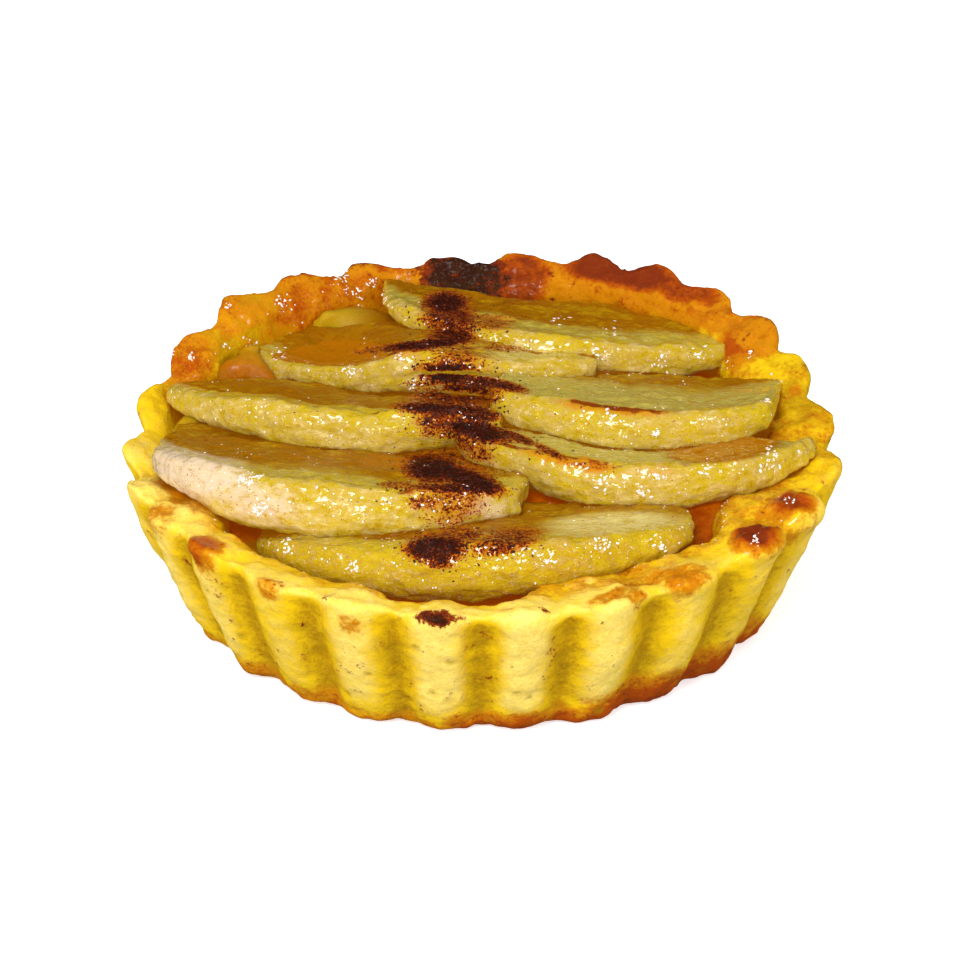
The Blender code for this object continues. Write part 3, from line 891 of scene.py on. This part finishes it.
def is_lip(place, normal):
    """Whether a place is on the rim's inward slope or the inner wall just under it."""
    radius = math.hypot(place.x, place.y)
    faces_in = outwardness(place, normal) < -0.04 or normal.z > 0.5
    return place.z > LIP_BOTTOM and LIP_INNERMOST < radius < CROWN_RADIUS and faces_in


def lean_fall(angle):
    return LEAN_FALL + strongest(angle, LEAN_FALL_MORE)


def lip_leans():
    """How far the lip leans in towards the slices, for even steps round the rim."""
    slices = solids_tree(["crust", "filling"])
    leans = []
    for step in range(LEAN_STEPS):
        angle = 360 * step / LEAN_STEPS
        turn = math.radians(angle)
        outward = Vector((math.cos(turn), math.sin(turn), 0.0))
        crown = outward * CROWN_RADIUS + Vector((0.0, 0.0, rim_top(angle) - CROWN_BELOW_TOP))
        way = Vector((-outward.x, -outward.y, -lean_fall(angle))).normalized()
        most = LIP_REACH + strongest(angle, LIP_REACH_MORE)
        room = room_ahead(slices, crown, way, LEAN_ROOM)
        level = most if room is None else room * math.hypot(way.x, way.y) - LEAN_GAP
        leans.append(min(max(level - (CROWN_RADIUS - LIP_RADIUS), 0.0), most))
    return [
        (leans[step - 1] + leans[step] + leans[(step + 1) % LEAN_STEPS]) / 3
        for step in range(LEAN_STEPS)
    ]


def lean_in(obj):
    """Brings the inside of the rim up to the slices beside it."""
    leans = lip_leans()
    moved = []
    for vert in obj.data.vertices:
        place = vert.co / MM
        if is_lip(place, vert.normal):
            angle = direction_of(place)
            step = angle % 360 / 360 * LEAN_STEPS
            before = int(step)
            share = step - before
            lean = leans[before] * (1 - share) + leans[(before + 1) % LEAN_STEPS] * share
            radius = math.hypot(place.x, place.y)
            across = min(max((CROWN_RADIUS - radius) / (CROWN_RADIUS - LIP_RADIUS), 0.0), 1.0)
            inner = radius - lean * across * ramp(place.z, 15.0, 16.5)
            level = rim_top(angle) - CROWN_BELOW_TOP - lean_fall(angle) * (CROWN_RADIUS - inner)
            if across < 1:
                place.z += max(level - place.z, 0.0) * ramp(lean, 0.0, 2.0)
            place.x *= inner / radius
            place.y *= inner / radius
        moved.extend(place * MM)
    obj.data.vertices.foreach_set("co", moved)
    obj.data.update()
    even_out(obj, is_lip, 4)


def crust_relief(crust):
    """Returns how far the crust's skin moves out at a place."""
    pits = KDTree(len(WALL_PITS) + LOOSE_PITS)
    sizes = []
    draw = random.Random(PIT_SEED)
    for x, y, z, radius, depth in WALL_PITS:
        pits.insert((x, y, z), len(sizes))
        sizes.append((radius, depth))
    for _ in range(LOOSE_PITS):
        turn = draw.uniform(0, FULL_TURN)
        height = draw.uniform(*LOOSE_PIT_HEIGHTS)
        radius = WALL_FOOT_RADIUS + WALL_FLARE * height / RIM_HEIGHT
        pits.insert((radius * math.cos(turn), radius * math.sin(turn), height), len(sizes))
        sizes.append((draw.uniform(0.5, 1.1), draw.uniform(0.4, 1.0) * crust.pit_depth / MM))
    pits.balance()

    def pit_share(place):
        _, index, distance = pits.find(place)
        radius, depth = sizes[index]
        return 1 - ramp(distance / radius, 0.2, 1.1), depth

    def skin(place, normal):
        """1 where the crust shows and 0 on its base and under the jam."""
        covered = ramp(-outwardness(place, normal), 0.0, 0.4) * (1 - ramp(place.z, 16.0, 18.0))
        return ramp(place.z, 0.05, 1.2) * (1 - covered)

    def move(place, normal):
        shown = skin(place, normal)
        if not shown:
            return 0.0
        angle = direction_of(place)
        top = ramp(place.z, rim_top(angle) - 4.0, rim_top(angle) - 1.0)
        groove = groove_share(angle)
        uneven_flute = 1 + 0.5 * lumps(place, 11.0, 3.0)
        flute = uneven_flute * (0.12 - 0.3 * ramp(groove, 0.5, 1.0) * (1 - top))
        broad = crust.uneven / MM * lumps(place, 8.0)
        middle = (0.6 + 0.8 * top) * crust.uneven / MM * 0.7 * lumps(place, 3.2, 5.0)
        small = crust.crumb / MM * (lumps(place, 1.5, 9.0) + 0.5 * lumps(place, 0.8, 2.0))
        share, depth = pit_share(place)
        foot = (1 - ramp(place.z, 0.8, 3.5)) * 0.45 * lumps(place, 2.0, 13.0)
        blob = rim_patch(place, BLOB_PATCHES) * (1 + 0.5 * lumps(place, 1.3, 4.0))
        dents = -0.14 * ramp(lumps(place, 2.4, 21.0), 0.1, 0.5)
        on_rim = ramp(place.z, 18.0, 20.0) * ramp(normal.z, 0.2, 0.7)
        puffs = on_rim * (0.35 * lumps(place, 2.2, 41.0) + 0.2 * lumps(place, 1.2, 43.0))
        return shown * (flute + broad + middle + small + dents + puffs - share * depth + foot + blob)

    return move, pit_share


class TART_OT_crust(bpy.types.Operator):
    """Dresses the crust: lumps, pits, a toasted foot and the browned rim"""

    bl_idname = "tart.crust"
    bl_label = "Crust"

    REFINED_FROM = 36.0
    SHORT_EDGE = 0.6

    def execute(self, context):
        crust = context.scene.tart_crust
        obj = rounded_copy("crust", "baked_crust")
        lean_in(obj)
        self.refine(obj)
        self.refine(obj)
        move, pit_share = crust_relief(crust)
        push(obj, move)
        shelter = Shelter()

        # Painted shade in the grooves below the rim, and olive pastry on the rim
        def valley(place, normal):
            angle = direction_of(place)
            below_rim = 1 - ramp(place.z, rim_top(angle) - 3.2, rim_top(angle) - 1.4)
            outward = outwardness(place, normal) > 0
            groove = (groove_share(angle) + 0.1 * lumps(place, 5.0, 8.0)) ** 2
            olive = strongest(angle, OLIVE_RIM) * ramp(place.z, 18.0, 20.0)
            return max(groove * below_rim * outward, olive)

        # Painted light on the flutes, strongest at the front, and a painted highlight on the crest
        def pale(place, normal):
            angle = direction_of(place)
            outward = outwardness(place, normal) > 0
            lobe = 1 - ramp(groove_share(angle) + 0.2 * lumps(place, 4.0, 31.0), 0.05, 1.0)
            tall = ramp(place.z, 2.0, 8.0)
            top = rim_top(angle)
            crest = ramp(place.z, top - 2.5, top - 0.8) * strongest(angle, PAINTED_CREST_HIGHLIGHT)
            return max(min(1.0, strongest(angle, PAINTED_LIGHT_FLUTES)) * lobe * tall * outward, crest)

        def toast(place, normal):
            angle = direction_of(place)
            foot = strongest(angle, FOOT_TOAST)
            height = place.z + 1.2 * lumps(place, 3.0, 51.0)
            low = (0.5 + 0.6 * foot) * (1 - ramp(height, 0.3, 4.5 + 5.5 * foot))
            top = rim_top(angle)
            high = strongest(angle, RIM_TOAST) * ramp(place.z, top - 7.0, top - 1.0)
            radius = math.hypot(place.x, place.y)
            inside = 0.34 * (1 - ramp(radius, 43.0, 47.5)) * ramp(place.z, 15.0, 17.0)
            return max(low, high, inside)

        # How shut in a place is; it paints shade in the syrup colour, a wet coat and a painted glow
        def hollow(place, normal):
            outside = normal.x * place.x + normal.y * place.y > 5
            return 0.0 if outside or place.z < 10 else shelter.share(place, normal)

        def glaze(place, normal):
            glazed = strongest(direction_of(place), GLAZED_RIM)
            return glazed * ramp(place.z, 17.0, 21.0) * ramp(normal.z, 0.0, 0.5)

        paint(
            obj, valley=valley, pale=pale, toast=toast, hollow=hollow, glaze=glaze,
            caramel=lambda place, normal: rim_patch(place, CARAMEL_PATCHES),
            char=lambda place, normal: rim_patch(place, CHAR_PATCHES),
            pit=lambda place, normal: pit_share(place)[0] * (normal.z > -0.5),
        )
        finish_piece(obj, crust_look(crust), "crust")
        return {"FINISHED"}

    def refine(self, obj):
        """Cuts the wall and the rim into lower faces, where the crust shows."""
        with open_mesh(obj) as bm:
            edges = [edge for edge in bm.edges if self.is_tall(edge)]
            bmesh.ops.subdivide_edges(bm, edges=edges, cuts=1, use_grid_fill=False)

    def is_tall(self, edge):
        """Whether an edge of the wall or the rim runs up more than round, and is long."""
        one, other = (vert.co / MM for vert in edge.verts)
        radius = min(math.hypot(one.x, one.y), math.hypot(other.x, other.y))
        level = abs(math.atan2(one.y, one.x) - math.atan2(other.y, other.x)) * radius
        length = edge.calc_length()
        shows = radius > self.REFINED_FROM and max(one.z, other.z) > 0.3
        return shows and length > self.SHORT_EDGE * MM and level < 0.3 * length / MM


class TART_OT_jam(bpy.types.Operator):
    """Dresses the jam bed with a wet, lumpy surface"""

    bl_idname = "tart.jam"
    bl_label = "Jam"

    def execute(self, context):
        jam = context.scene.tart_jam
        obj = rounded_copy("filling", "jam_bed")
        above = solids_tree(["filling"])
        upward = Vector((0.0, 0.0, 1.0))

        def move(place, normal):
            top = ramp(normal.z, 0.3, 0.8)
            rise = strongest_patch(place, JAM_SWELLS) + jam.uneven / MM * lumps(place, 5.0)
            room = room_ahead(above, place, upward, JAM_ROOM)
            if room is not None:
                rise = min(rise, room - JAM_GAP)
            return top * rise

        push(obj, move)
        even_out(obj, lambda place, normal: place.z > JAM_TOP, 3)
        shelter = Shelter()
        paint(obj, hollow=shelter.share, thin=lambda place, normal: strongest_patch(place, THIN_JAM))
        finish_piece(obj, jam_look(jam), "filling")
        return {"FINISHED"}


def slice_places(piece):
    """Returns a function that says how far along, back from the peel and down a place lies."""
    about_z, right_end_up, peel_up = (math.radians(turn) for turn in piece.turns)
    turned = (
        Matrix.Translation(Vector(piece.middle) + CAD_SHIFT)
        @ Matrix.Rotation(about_z, 4, "Z")
        @ Matrix.Rotation(-right_end_up, 4, "Y")
        @ Matrix.Rotation(-peel_up, 4, "X")
    ).inverted()

    def places(place):
        local = turned @ place
        share = min(max(local.x / piece.half_length, -0.999), 0.999)
        peel_line = piece.bow * (1 - math.sqrt(1 - share * share))
        rise = piece.lift * share * share + piece.wave * math.cos(FULL_TURN * share / WAVE_LENGTH)
        return local.x, local.y - peel_line, rise - local.z

    return places


class TART_OT_apples(bpy.types.Operator):
    """Dresses the seven apple slices: soft edges, fibres, browned ridges, syrup and painted shade, and
    cinnamon
    """

    bl_idname = "tart.apples"
    bl_label = "Apple slices"

    SOFTEN = 12
    SWELL = 0.45
    NESTLE = 1.6

    def execute(self, context):
        apple = context.scene.tart_apple
        look = apple_look(apple)
        shelter = Shelter()
        for number, (name, piece) in enumerate(SLICES.items()):
            self.dress(name, piece, number, apple, look, shelter)
        return {"FINISHED"}

    def dress(self, name, piece, number, apple, look, shelter):
        places = slice_places(piece)
        obj = copy_of(piece.node, name)
        remesh = obj.modifiers.new("even", "REMESH")
        remesh.mode = "VOXEL"
        remesh.voxel_size = apple.voxel
        settle(obj)
        others = solids_tree([piece.node])

        def nestle(place, normal):
            room = room_ahead(others, place, normal, self.NESTLE)
            return self.SWELL if room is None else 0.5 * room

        push(obj, nestle)
        even_out(obj, lambda place, normal: True, self.SOFTEN)
        shift = 17.0 * number

        def move(place, normal):
            along, back, down = places(place)
            broad = 0.8 * apple.uneven / MM * lumps(place, 8.0, shift)
            middle = 0.45 * apple.uneven / MM * noise.noise((along / 5 + shift, back / 2.6, down / 2.2))
            wrinkle = 1.2 * apple.fibre / MM * lumps(place, 1.7, shift)
            fibre = 0.6 * apple.fibre / MM * noise.noise((along / 3 + shift, back / 0.9, down / 0.9))
            small = 0.7 * apple.fibre / MM * lumps(place, 0.85, shift)
            worn = seen_patch(place, WORN_RIDGES) * ramp(normal.z, 0.0, 0.4)
            return broad + middle + wrinkle + fibre + small - worn

        push(obj, move)

        def browned(place, normal):
            _, back, down = places(place)
            below = (1 - ramp(back, 0.3, 1.0)) * (1 - ramp(down, 0.3, 2.0))
            ridge = math.exp(-((math.hypot(back - 0.5, down - 0.3) / 1.5) ** 2))
            return 0.7 * seen_patch(place, BROWNED_PLACES) * max(below, ridge)

        def edge(place, normal):
            _, back, down = places(place)
            away = math.hypot(back - 0.5, down - 0.2) / (0.55 + 0.3 * lumps(place, 1.5, shift))
            return (0.2 + 1.3 * seen_patch(place, BROWNED_PLACES)) * math.exp(-(away ** 2))

        # Upward cut faces get a darker amber: syrup-soaked flesh, and painted shade
        def cut_face(place, normal):
            wavy = places(place)[1] + 1.2 * lumps(place, 4.0, shift + 3.0)
            start = 1.0 + 5 * piece.greenness
            end = start + 3 + 7 * piece.greenness
            bare = (1 - seen_patch(place, CREAM_PLACES)) * ramp(wavy, start, end)
            return bare * ramp(normal.z, 0.5, 0.85)

        def pale(place, normal):
            _, back, down = places(place)
            low_front = ramp(down, 1.0, 5.0) * (1 - ramp(back, 0.0, 4.0))
            peel = piece.paleness * (0.7 + 0.3 * low_front) * (1 - ramp(back, 0.5, 2.0))
            return max(peel + 0.04, 0.6 * seen_patch(place, CREAM_PLACES))

        def green(place, normal):
            behind = ramp(places(place)[1], 0.6, 1.6)
            return (0.15 + 0.8 * piece.greenness) * behind * ramp(normal.z, 0.4, 0.9)

        # How shut in a place is, with the pools and the soaked foot; it paints syrup and shade, and a
        # painted glow
        def hollow(place, normal):
            down = places(place)[2]
            pool = seen_patch(place, SYRUP_AND_SHADE_POOLS) * ramp(normal.z, 0.5, 0.85)
            foot = piece.soaked * ramp(down + 0.6 * lumps(place, 2.0, shift), 3.2, 6.5)
            return max(shelter.share(place, normal), pool, foot)

        def cinnamon(place, normal):
            up = ramp(normal.z, -0.4, 0.2) * ramp(normal.y, 0.9, 0.2)
            return up * seen_patch(place, ALL_CINNAMON)

        paint(
            obj, browned=browned, edge=edge, pale=pale, cut_face=cut_face, green=green,
            cinnamon=cinnamon, hollow=hollow,
            blush=lambda place, normal: seen_patch(place, PALE_PLACES),
        )
        finish_piece(obj, look, piece.node)


class Toppings:
    """Places for scattered grains, on the dressed pieces."""

    def __init__(self):
        bm = bmesh.new()
        for name in [*SLICES, "baked_crust"]:
            bm.from_mesh(bpy.data.objects[name].data)
        self.tree = BVHTree.FromBMesh(bm)
        bm.free()

    def from_the_front(self, across, up):
        """The place that the viewer sees there, with its normal, or None."""
        eye = TO_VIEWER * CAMERA_DISTANCE
        aim = (Vector((across, 0.0, 0.0)) + VIEW_UP * up) * MM
        return self.found(eye, aim - eye)

    def from_above(self, x, y):
        """The highest place under x and y, with its normal, or None."""
        return self.found(Vector((x, y, ABOVE_ALL)) * MM, Vector((0.0, 0.0, -1.0)))

    def found(self, start, way):
        hit, normal, _, _ = self.tree.ray_cast(start, way)
        return None if hit is None else (hit / MM, normal)


def add_grain(bm, place, normal, draw, radius, flat, long, lie=None):
    """Adds one small lump that lies on a surface."""
    turn = Matrix.Rotation(draw.uniform(0, FULL_TURN) if lie is None else lie, 4, "Z")
    stand = normal.to_track_quat("Z", "Y").to_matrix().to_4x4()
    size = Matrix.Diagonal((long, 1.0, flat, 1.0))
    matrix = Matrix.Translation(place * MM) @ stand @ turn @ size
    bmesh.ops.create_icosphere(bm, subdivisions=1, radius=radius * MM, matrix=matrix)


def finish_grains(bm, name, look):
    """Makes one piece of all the grains of a kind."""
    bmesh.ops.recalc_face_normals(bm, faces=bm.faces)
    finish_piece(object_from(bm, name), look)


class TART_OT_cinnamon(bpy.types.Operator):
    """Scatters cinnamon grains over the dusted places"""

    bl_idname = "tart.cinnamon"
    bl_label = "Cinnamon grains"

    def execute(self, context):
        topping = context.scene.tart_topping
        tops = Toppings()
        draw = random.Random(CINNAMON_SEED)
        bm = bmesh.new()
        made = 0
        weights = [patch[2] * patch[3] * patch[5] ** 2 for patch in ALL_CINNAMON]
        weights[-1] *= STREAK_WEIGHT
        for _ in range(TRIES_PER_GRAIN * topping.grains):
            if made == topping.grains:
                break
            across, up, along, tall = draw.choices(ALL_CINNAMON, weights)[0][:4]
            found = tops.from_the_front(draw.gauss(across, 0.5 * along), draw.gauss(up, 0.5 * tall))
            if found is None or found[1].z < 0.05:
                continue
            place, normal = found
            radius = topping.grain_size / MM * draw.uniform(0.3, 1.0) ** 1.5
            add_grain(bm, place, normal, draw, radius, draw.uniform(0.4, 0.8), draw.uniform(1.0, 1.6))
            made += 1
        if made < topping.grains:
            raise RuntimeError(f"only {made} cinnamon grains found a place")
        look = grain_look("cinnamon", topping.spice, topping.dark_spice, 2.5, 0.6)
        finish_grains(bm, "cinnamon_grains", look)
        return {"FINISHED"}


class TART_OT_glints(bpy.types.Operator):
    """Scatters small white beads over the apples and the glazed rim, as painted glints"""

    bl_idname = "tart.glints"
    bl_label = "Glaze beads"

    def execute(self, context):
        topping = context.scene.tart_topping
        tops = Toppings()
        draw = random.Random(GLINT_SEED)
        bm = bmesh.new()
        made = 0
        for _ in range(TRIES_PER_GRAIN * topping.glints):
            if made == topping.glints:
                break
            x = draw.uniform(-47, 47)
            y = draw.uniform(-47, 47)
            reach = math.hypot(x, y)
            if reach > GLINTS_WITHIN:
                continue
            glazed = strongest(math.degrees(math.atan2(y, x)), GLAZED_RIM)
            if reach > GLINTS_ON_RIM and glazed < draw.uniform(0.3, 1.2):
                continue
            found = tops.from_above(x, y)
            if found is None or found[1].z < 0.1 or found[0].z < GLINTS_ABOVE:
                continue
            place, normal = found
            if lumps(place, 3.5, 6.0) + 0.4 - ramp(normal.z, 0.7, 0.9) < draw.uniform(-0.3, 0.9):
                continue
            radius = topping.glint_size / MM * draw.uniform(0.35, 0.95) ** 1.6
            add_grain(bm, place, normal, draw, radius, 0.4, draw.uniform(1.0, 1.7))
            made += 1
        if made < topping.glints:
            raise RuntimeError(f"only {made} glaze beads found a place")
        # Clusters of white beads where highlights are painted
        for across, up, spread, count in STREAKS:
            lie = draw.uniform(0, FULL_TURN)
            for _ in range(2 * count):
                aside = draw.gauss(across, 0.6 * spread)
                found = tops.from_the_front(aside, draw.gauss(up, 0.5 * spread))
                if found is None:
                    continue
                place, normal = found
                radius = topping.glint_size / MM * draw.uniform(0.35, 1.1) ** 1.4
                long = draw.uniform(1.0, 2.6)
                add_grain(bm, place, normal, draw, radius, 0.35, long, lie + draw.gauss(0, 0.7))
        # Near-white beads: painted glints
        look = grain_look("painted_glint_bead", topping.bead, topping.rosy_bead, 3.0, 0.15)
        finish_grains(bm, "glaze_beads", look)
        return {"FINISHED"}


class TART_OT_stage(bpy.types.Operator):
    """Sets the pale floor, the soft studio light and the camera"""

    bl_idname = "tart.stage"
    bl_label = "Stage"

    def execute(self, context):
        stage = context.scene.tart_stage
        scene = context.scene
        scene.view_settings.view_transform = "Standard"
        bm = bmesh.new()
        bmesh.ops.create_grid(bm, x_segments=1, y_segments=1, size=2.0)
        floor = object_from(bm, "floor")
        look = Look("floor_paint")
        shade = look.grain(40.0, 2.0)
        colour = look.mix(0.03 * shade, tint(stage.floor), WHITE)
        floor.data.materials.append(
            look.surface(
                colour, 0.7, look.bump(shade, 0.01, 0.1), Specular_IOR_Level=0.0,
                Emission_Color=WHITE, Emission_Strength=stage.glow,
            )
        )

        world = bpy.data.worlds.new("white_room")
        world.use_nodes = True
        sky = world.node_tree.nodes["Background"]
        sky.inputs["Color"].default_value = WHITE
        sky.inputs["Strength"].default_value = stage.sky
        scene.world = world
        world.cycles_visibility.glossy = False
        floor.visible_glossy = False
        floor.visible_diffuse = False
        for name, place, size, power, shows in LIGHTS:
            light = bpy.data.lights.new(name, "AREA")
            light.shape = "SQUARE"
            light.size = size
            light.energy = power * stage.lamps
            lamp = bpy.data.objects.new(name, light)
            lamp.location = place
            lamp.rotation_euler = (-Vector(place)).to_track_quat("-Z", "Y").to_euler()
            lamp.visible_glossy = shows
            scene.collection.objects.link(lamp)

        lens = bpy.data.cameras.new("photo_view")
        lens.sensor_width = CAMERA_SENSOR
        lens.lens = CAMERA_LENS
        lens.shift_x, lens.shift_y = CAMERA_SHIFT
        lens.clip_start = 0.01
        lens.clip_end = 10.0
        camera = bpy.data.objects.new("photo_view", lens)
        camera.location = TO_VIEWER * CAMERA_DISTANCE
        camera.rotation_euler = (math.pi / 2 - CAMERA_ELEVATION, 0.0, 0.0)
        scene.collection.objects.link(camera)
        scene.camera = camera
        return {"FINISHED"}


class TART_PT_panel(bpy.types.Panel):
    """Lists the steps that dress the tart and their settings"""

    bl_idname = "TART_PT_panel"
    bl_label = "Apple tart"
    bl_space_type = "VIEW_3D"
    bl_region_type = "UI"
    bl_category = "Tart"

    def draw(self, context):
        for settings, operator in STEPS:
            box = self.layout.box()
            box.operator(operator.bl_idname)
            group = getattr(context.scene, settings)
            for name in group.__annotations__:
                box.prop(group, name)


STEPS = (
    ("tart_crust", TART_OT_crust),
    ("tart_jam", TART_OT_jam),
    ("tart_apple", TART_OT_apples),
    ("tart_topping", TART_OT_cinnamon),
    ("tart_topping", TART_OT_glints),
    ("tart_stage", TART_OT_stage),
)
SETTINGS = {
    "tart_crust": TartCrustSettings,
    "tart_jam": TartJamSettings,
    "tart_apple": TartAppleSettings,
    "tart_topping": TartToppingSettings,
    "tart_stage": TartStageSettings,
}


def register():
    for name, settings in SETTINGS.items():
        bpy.utils.register_class(settings)
        setattr(bpy.types.Scene, name, bpy.props.PointerProperty(type=settings))
    for _, operator in STEPS:
        bpy.utils.register_class(operator)
    bpy.utils.register_class(TART_PT_panel)


def unregister():
    bpy.utils.unregister_class(TART_PT_panel)
    for _, operator in reversed(STEPS):
        bpy.utils.unregister_class(operator)
    for name, settings in SETTINGS.items():
        delattr(bpy.types.Scene, name)
        bpy.utils.unregister_class(settings)


def main():
    register()
    bpy.ops.tart.crust()
    bpy.ops.tart.jam()
    bpy.ops.tart.apples()
    bpy.ops.tart.cinnamon()
    bpy.ops.tart.glints()
    bpy.ops.tart.stage()


if __name__ == "__main__":
    main()
